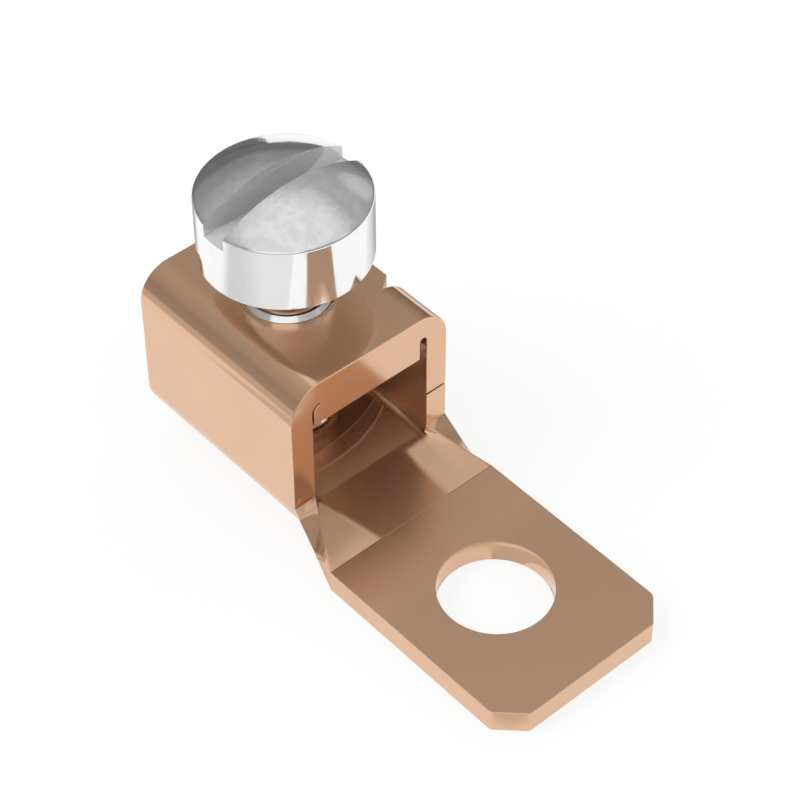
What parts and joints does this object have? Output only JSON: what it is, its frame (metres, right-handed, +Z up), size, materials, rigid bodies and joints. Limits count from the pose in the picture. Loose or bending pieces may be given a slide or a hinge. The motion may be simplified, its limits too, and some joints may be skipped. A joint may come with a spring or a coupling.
{
  "type": "mechanical lug",
  "caption": "Copper box lug: a flat tongue with a stud hole, and a folded wire barrel with a slotted clamping screw.",
  "frame": {"origin": "centre of the stud hole on the underside of the tongue", "axes": "+X from the wire barrel towards the end of the tongue, +Z up out of the tongue and along the screw, +Y to the side of the barrel with the folded-down flap"},
  "size_m": [0.0332, 0.013, 0.0216],
  "materials": {
    "bright_copper": "bright rolled copper sheet, folded, nearly mirror smooth",
    "plated_steel": "turned steel with bright zinc plating"
  },
  "bodies": {
    "lug": {"lug_body": "bright_copper"},
    "screw": {"clamp_screw": "plated_steel"}
  },
  "joints": [
    {"name": "screw_travel", "type": "slide", "parent": "lug", "child": "screw", "axis": [0, 0, 1], "range_m": [0, 0.0064]}
  ]
}
